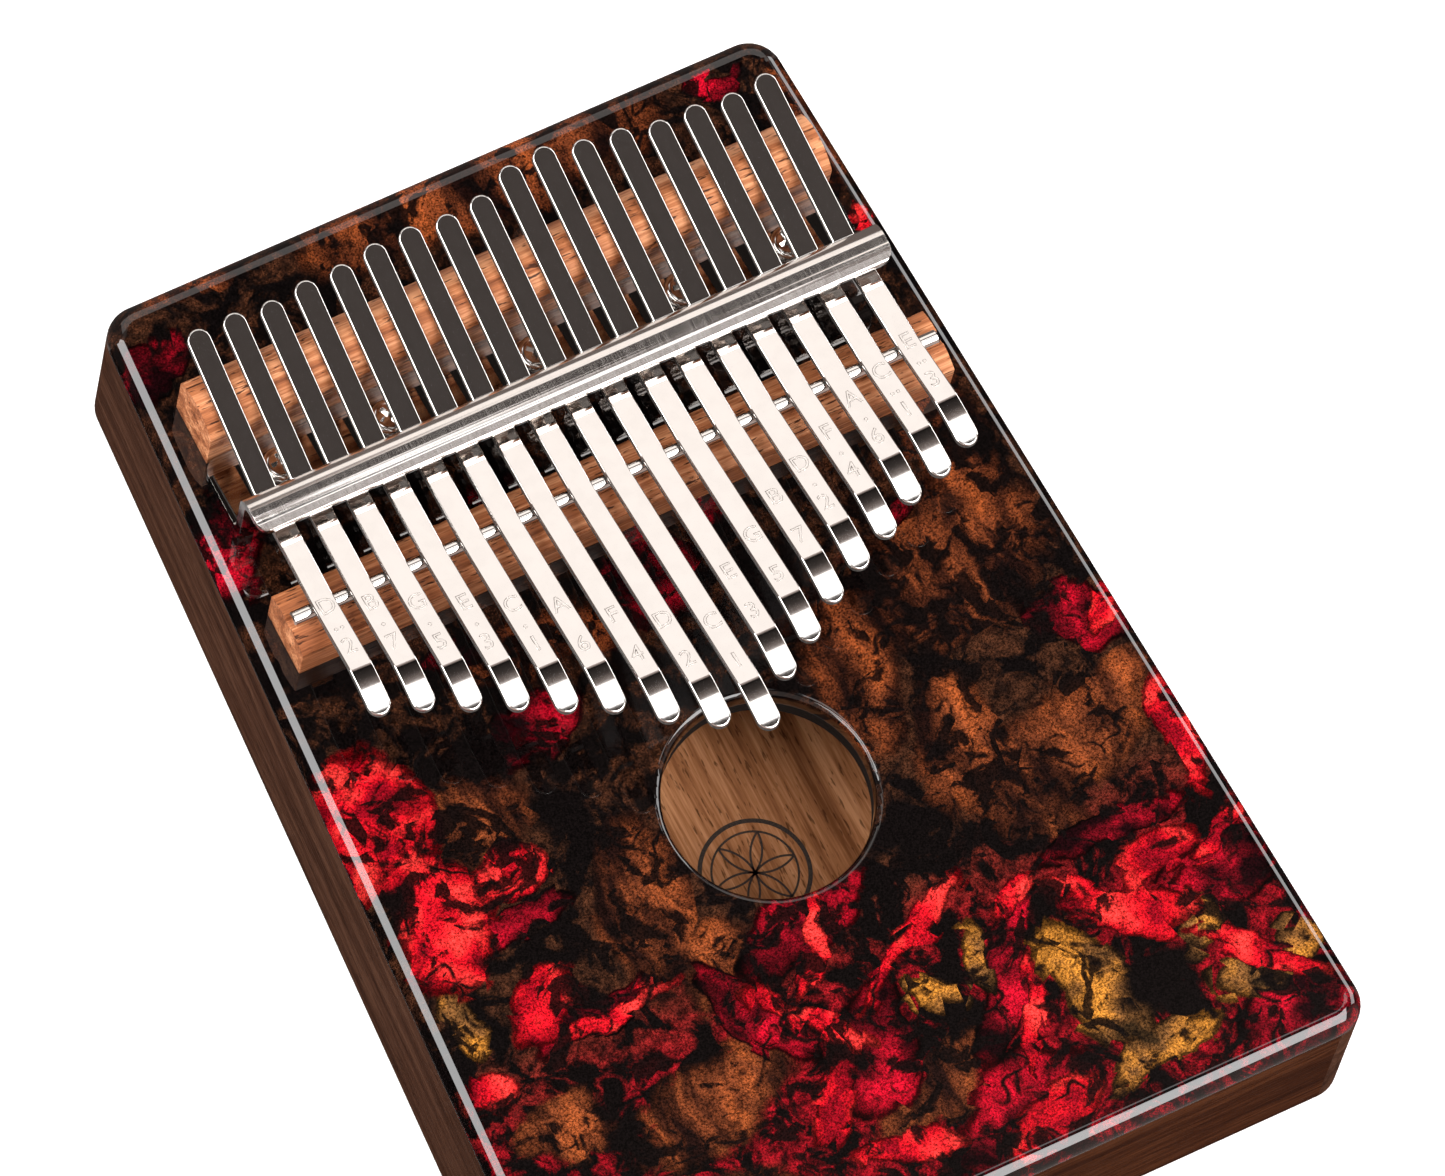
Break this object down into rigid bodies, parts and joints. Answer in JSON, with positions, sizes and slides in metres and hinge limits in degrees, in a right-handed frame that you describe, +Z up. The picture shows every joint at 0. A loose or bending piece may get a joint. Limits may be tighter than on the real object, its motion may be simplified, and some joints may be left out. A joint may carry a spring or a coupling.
{
  "type": "thumb piano",
  "caption": "Sound-box mbira with flat steel tines clamped by a slotted metal bar between two wooden bridges, over a glossy printed resin top with a round sound hole.",
  "frame": {"origin": "middle of the footprint, on the surface that the box lies on", "axes": "+Z up out of the printed top, +Y along the length towards the fixed ends of the tines, +X to the right as the player reads the tines"},
  "size_m": [0.1364, 0.185, 0.0535],
  "materials": {
    "printed_resin": "thick clear resin over a red, copper and black printed leaf pattern, polished to a mirror",
    "walnut": "oiled dark walnut, straight grain along the length",
    "walnut_end": "oiled walnut, slightly warmer",
    "inner_wood": "bare sanded brown wood with open pores",
    "plain_maple": "bare sanded wood, unseen inside",
    "mahogany": "satin orange-brown mahogany with dark pores",
    "nickel": "bright polished nickel plate",
    "screw_steel": "bright plated steel",
    "tine_steel": "polished plated spring steel"
  },
  "bodies": {
    "root": {"resin_top": "printed_resin", "top_board": "plain_maple", "back_board": "inner_wood", "side_left": "walnut", "side_right": "walnut", "end_front": "walnut_end", "end_rear": "walnut_end", "screw_block": "plain_maple", "rear_bridge": "mahogany", "front_bridge": "mahogany", "bridge_rod": "nickel", "bracket": "nickel", "bracket_screws": "screw_steel"},
    "shank_01": {"tine_01_shank": "tine_steel"},
    "tongue_01": {"tine_01_tongue": "tine_steel"},
    "shank_02": {"tine_02_shank": "tine_steel"},
    "tongue_02": {"tine_02_tongue": "tine_steel"},
    "shank_03": {"tine_03_shank": "tine_steel"},
    "tongue_03": {"tine_03_tongue": "tine_steel"},
    "shank_04": {"tine_04_shank": "tine_steel"},
    "tongue_04": {"tine_04_tongue": "tine_steel"},
    "shank_05": {"tine_05_shank": "tine_steel"},
    "tongue_05": {"tine_05_tongue": "tine_steel"},
    "shank_06": {"tine_06_shank": "tine_steel"},
    "tongue_06": {"tine_06_tongue": "tine_steel"},
    "shank_07": {"tine_07_shank": "tine_steel"},
    "tongue_07": {"tine_07_tongue": "tine_steel"},
    "shank_08": {"tine_08_shank": "tine_steel"},
    "tongue_08": {"tine_08_tongue": "tine_steel"},
    "shank_09": {"tine_09_shank": "tine_steel"},
    "tongue_09": {"tine_09_tongue": "tine_steel"},
    "shank_10": {"tine_10_shank": "tine_steel"},
    "tongue_10": {"tine_10_tongue": "tine_steel"},
    "shank_11": {"tine_11_shank": "tine_steel"},
    "tongue_11": {"tine_11_tongue": "tine_steel"},
    "shank_12": {"tine_12_shank": "tine_steel"},
    "tongue_12": {"tine_12_tongue": "tine_steel"},
    "shank_13": {"tine_13_shank": "tine_steel"},
    "tongue_13": {"tine_13_tongue": "tine_steel"},
    "shank_14": {"tine_14_shank": "tine_steel"},
    "tongue_14": {"tine_14_tongue": "tine_steel"},
    "shank_15": {"tine_15_shank": "tine_steel"},
    "tongue_15": {"tine_15_tongue": "tine_steel"},
    "shank_16": {"tine_16_shank": "tine_steel"},
    "tongue_16": {"tine_16_tongue": "tine_steel"},
    "shank_17": {"tine_17_shank": "tine_steel"},
    "tongue_17": {"tine_17_tongue": "tine_steel"}
  },
  "joints": [
    {"name": "tune_01", "type": "slide", "parent": "root", "child": "shank_01", "axis": [-0.0264, -0.9997, 0], "range_m": [-0.001, 0.001]},
    {"name": "pluck_01", "type": "hinge", "parent": "shank_01", "child": "tongue_01", "pos_m": [-0.05057, 0.02961, 0.04358], "axis": [0.9997, -0.0264, 0], "range_deg": [-2, 2], "stiffness_Nm_per_rad": 2.5},
    {"name": "tune_02", "type": "slide", "parent": "root", "child": "shank_02", "axis": [-0.0231, -0.9997, 0], "range_m": [-0.001, 0.001]},
    {"name": "pluck_02", "type": "hinge", "parent": "shank_02", "child": "tongue_02", "pos_m": [-0.04425, 0.02961, 0.04358], "axis": [0.9997, -0.0231, 0], "range_deg": [-2, 2], "stiffness_Nm_per_rad": 2.5},
    {"name": "tune_03", "type": "slide", "parent": "root", "child": "shank_03", "axis": [-0.0198, -0.9998, 0], "range_m": [-0.001, 0.001]},
    {"name": "pluck_03", "type": "hinge", "parent": "shank_03", "child": "tongue_03", "pos_m": [-0.03793, 0.0296, 0.04358], "axis": [0.9998, -0.0198, 0], "range_deg": [-2, 2], "stiffness_Nm_per_rad": 2.5},
    {"name": "tune_04", "type": "slide", "parent": "root", "child": "shank_04", "axis": [-0.0165, -0.9999, 0], "range_m": [-0.001, 0.001]},
    {"name": "pluck_04", "type": "hinge", "parent": "shank_04", "child": "tongue_04", "pos_m": [-0.03161, 0.0296, 0.04358], "axis": [0.9999, -0.0165, 0], "range_deg": [-2, 2], "stiffness_Nm_per_rad": 2.5},
    {"name": "tune_05", "type": "slide", "parent": "root", "child": "shank_05", "axis": [-0.0132, -0.9999, 0], "range_m": [-0.001, 0.001]},
    {"name": "pluck_05", "type": "hinge", "parent": "shank_05", "child": "tongue_05", "pos_m": [-0.02528, 0.0296, 0.04358], "axis": [0.9999, -0.0132, 0], "range_deg": [-2, 2], "stiffness_Nm_per_rad": 2.5},
    {"name": "tune_06", "type": "slide", "parent": "root", "child": "shank_06", "axis": [-0.0099, -1, 0], "range_m": [-0.001, 0.001]},
    {"name": "pluck_06", "type": "hinge", "parent": "shank_06", "child": "tongue_06", "pos_m": [-0.01896, 0.0296, 0.04358], "axis": [1, -0.0099, 0], "range_deg": [-2, 2], "stiffness_Nm_per_rad": 2.5},
    {"name": "tune_07", "type": "slide", "parent": "root", "child": "shank_07", "axis": [-0.0066, -1, 0], "range_m": [-0.001, 0.001]},
    {"name": "pluck_07", "type": "hinge", "parent": "shank_07", "child": "tongue_07", "pos_m": [-0.01264, 0.0296, 0.04358], "axis": [1, -0.0066, 0], "range_deg": [-2, 2], "stiffness_Nm_per_rad": 2.5},
    {"name": "tune_08", "type": "slide", "parent": "root", "child": "shank_08", "axis": [-0.0033, -1, 0], "range_m": [-0.001, 0.001]},
    {"name": "pluck_08", "type": "hinge", "parent": "shank_08", "child": "tongue_08", "pos_m": [-0.00632, 0.0296, 0.04358], "axis": [1, -0.0033, 0], "range_deg": [-2, 2], "stiffness_Nm_per_rad": 2.5},
    {"name": "tune_09", "type": "slide", "parent": "root", "child": "shank_09", "axis": [0, -1, 0], "range_m": [-0.001, 0.001]},
    {"name": "pluck_09", "type": "hinge", "parent": "shank_09", "child": "tongue_09", "pos_m": [0, 0.0296, 0.04358], "axis": [1, 0, 0], "range_deg": [-2, 2], "stiffness_Nm_per_rad": 2.5},
    {"name": "tune_10", "type": "slide", "parent": "root", "child": "shank_10", "axis": [0.0033, -1, 0], "range_m": [-0.001, 0.001]},
    {"name": "pluck_10", "type": "hinge", "parent": "shank_10", "child": "tongue_10", "pos_m": [0.00632, 0.0296, 0.04358], "axis": [1, 0.0033, 0], "range_deg": [-2, 2], "stiffness_Nm_per_rad": 2.5},
    {"name": "tune_11", "type": "slide", "parent": "root", "child": "shank_11", "axis": [0.0066, -1, 0], "range_m": [-0.001, 0.001]},
    {"name": "pluck_11", "type": "hinge", "parent": "shank_11", "child": "tongue_11", "pos_m": [0.01264, 0.0296, 0.04358], "axis": [1, 0.0066, 0], "range_deg": [-2, 2], "stiffness_Nm_per_rad": 2.5},
    {"name": "tune_12", "type": "slide", "parent": "root", "child": "shank_12", "axis": [0.0099, -1, 0], "range_m": [-0.001, 0.001]},
    {"name": "pluck_12", "type": "hinge", "parent": "shank_12", "child": "tongue_12", "pos_m": [0.01896, 0.0296, 0.04358], "axis": [1, 0.0099, 0], "range_deg": [-2, 2], "stiffness_Nm_per_rad": 2.5},
    {"name": "tune_13", "type": "slide", "parent": "root", "child": "shank_13", "axis": [0.0132, -0.9999, 0], "range_m": [-0.001, 0.001]},
    {"name": "pluck_13", "type": "hinge", "parent": "shank_13", "child": "tongue_13", "pos_m": [0.02528, 0.0296, 0.04358], "axis": [0.9999, 0.0132, 0], "range_deg": [-2, 2], "stiffness_Nm_per_rad": 2.5},
    {"name": "tune_14", "type": "slide", "parent": "root", "child": "shank_14", "axis": [0.0165, -0.9999, 0], "range_m": [-0.001, 0.001]},
    {"name": "pluck_14", "type": "hinge", "parent": "shank_14", "child": "tongue_14", "pos_m": [0.03161, 0.0296, 0.04358], "axis": [0.9999, 0.0165, 0], "range_deg": [-2, 2], "stiffness_Nm_per_rad": 2.5},
    {"name": "tune_15", "type": "slide", "parent": "root", "child": "shank_15", "axis": [0.0198, -0.9998, 0], "range_m": [-0.001, 0.001]},
    {"name": "pluck_15", "type": "hinge", "parent": "shank_15", "child": "tongue_15", "pos_m": [0.03793, 0.0296, 0.04358], "axis": [0.9998, 0.0198, 0], "range_deg": [-2, 2], "stiffness_Nm_per_rad": 2.5},
    {"name": "tune_16", "type": "slide", "parent": "root", "child": "shank_16", "axis": [0.0231, -0.9997, 0], "range_m": [-0.001, 0.001]},
    {"name": "pluck_16", "type": "hinge", "parent": "shank_16", "child": "tongue_16", "pos_m": [0.04425, 0.02961, 0.04358], "axis": [0.9997, 0.0231, 0], "range_deg": [-2, 2], "stiffness_Nm_per_rad": 2.5},
    {"name": "tune_17", "type": "slide", "parent": "root", "child": "shank_17", "axis": [0.0264, -0.9997, 0], "range_m": [-0.001, 0.001]},
    {"name": "pluck_17", "type": "hinge", "parent": "shank_17", "child": "tongue_17", "pos_m": [0.05057, 0.02961, 0.04358], "axis": [0.9997, 0.0264, 0], "range_deg": [-2, 2], "stiffness_Nm_per_rad": 2.5}
  ]
}
